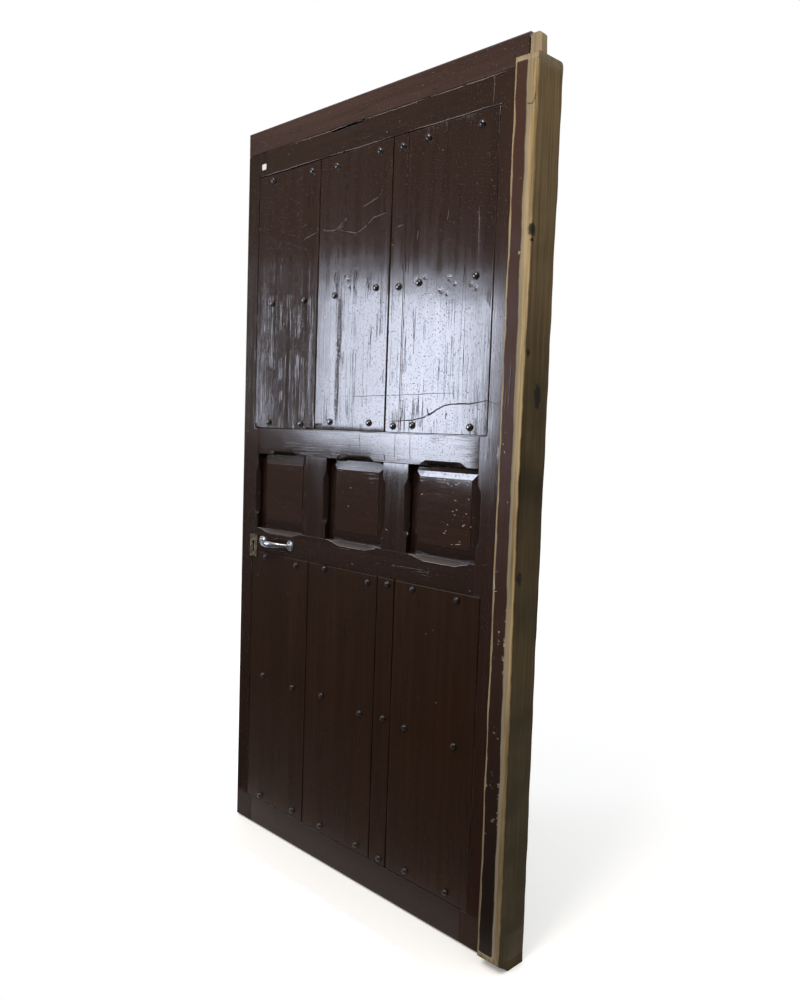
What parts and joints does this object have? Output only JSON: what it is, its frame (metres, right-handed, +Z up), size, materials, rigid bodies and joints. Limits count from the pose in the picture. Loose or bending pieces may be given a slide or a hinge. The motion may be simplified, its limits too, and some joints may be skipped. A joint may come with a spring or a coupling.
{
  "type": "panel door",
  "caption": "Studded plank-and-panel door leaf with stopped-chamfered frame, fielded panels, bow pull handle and mortice dead bolt, hung by butt hinges on one rebated jamb post.",
  "frame": {"origin": "middle of the whole object's base, at the foot of the jamb post", "axes": "+Z up, the studded face looks along -Y, and the jamb post is at the +X end"},
  "size_m": [1.031, 0.0996, 2.005],
  "materials": {
    "painted_wood": "old dark brown gloss paint, dull and scratched",
    "bare_wood": "bare aged pine with remains of brown paint",
    "stud_iron": "painted over, worn on the domes",
    "chrome": "polished, slightly dulled",
    "plate_metal": "worn and dirty",
    "steel": "dull, slightly rusted"
  },
  "bodies": {
    "jamb": {"jamb_post": "bare_wood", "upper_hinge_jamb_plate": "steel", "middle_hinge_jamb_plate": "steel", "lower_hinge_jamb_plate": "steel", "upper_hinge_pin": "steel", "middle_hinge_pin": "steel", "lower_hinge_pin": "steel", "jamb_hinge_screws": "steel"},
    "leaf": {"lock_stile": "painted_wood", "hanging_stile": "painted_wood", "bottom_rail": "painted_wood", "lock_rail": "painted_wood", "upper_rail": "painted_wood", "top_rail": "painted_wood", "left_muntin": "painted_wood", "right_muntin": "painted_wood", "left_panel": "painted_wood", "middle_panel": "painted_wood", "right_panel": "painted_wood", "upper_left_board": "painted_wood", "upper_middle_board": "painted_wood", "upper_narrow_board": "painted_wood", "upper_right_board": "painted_wood", "lower_left_board": "painted_wood", "lower_middle_board": "painted_wood", "lower_narrow_board": "painted_wood", "lower_right_board": "painted_wood", "upper_ledge": "painted_wood", "lower_ledge": "painted_wood", "upper_studs": "stud_iron", "lower_studs": "stud_iron", "top_strip": "painted_wood", "strip_nails": "steel", "pull_handle": "chrome", "handle_screws": "steel", "keyhole_plate": "plate_metal", "plate_pins": "plate_metal", "lock_case": "steel", "lock_cover": "steel", "forend_screws": "steel", "upper_hinge_leaf_plate": "steel", "middle_hinge_leaf_plate": "steel", "lower_hinge_leaf_plate": "steel", "leaf_hinge_screws": "steel"},
    "bolt": {"dead_bolt": "steel", "bolt_spring": "steel"}
  },
  "joints": [
    {"name": "door_swing", "type": "hinge", "parent": "jamb", "child": "leaf", "pos_m": [0.466, 0.0433, 0.9725], "axis": [0, 0, -1], "range_deg": [0, 170]},
    {"name": "bolt_throw", "type": "slide", "parent": "leaf", "child": "bolt", "axis": [-1, 0, 0], "range_m": [0, 0.014]}
  ]
}
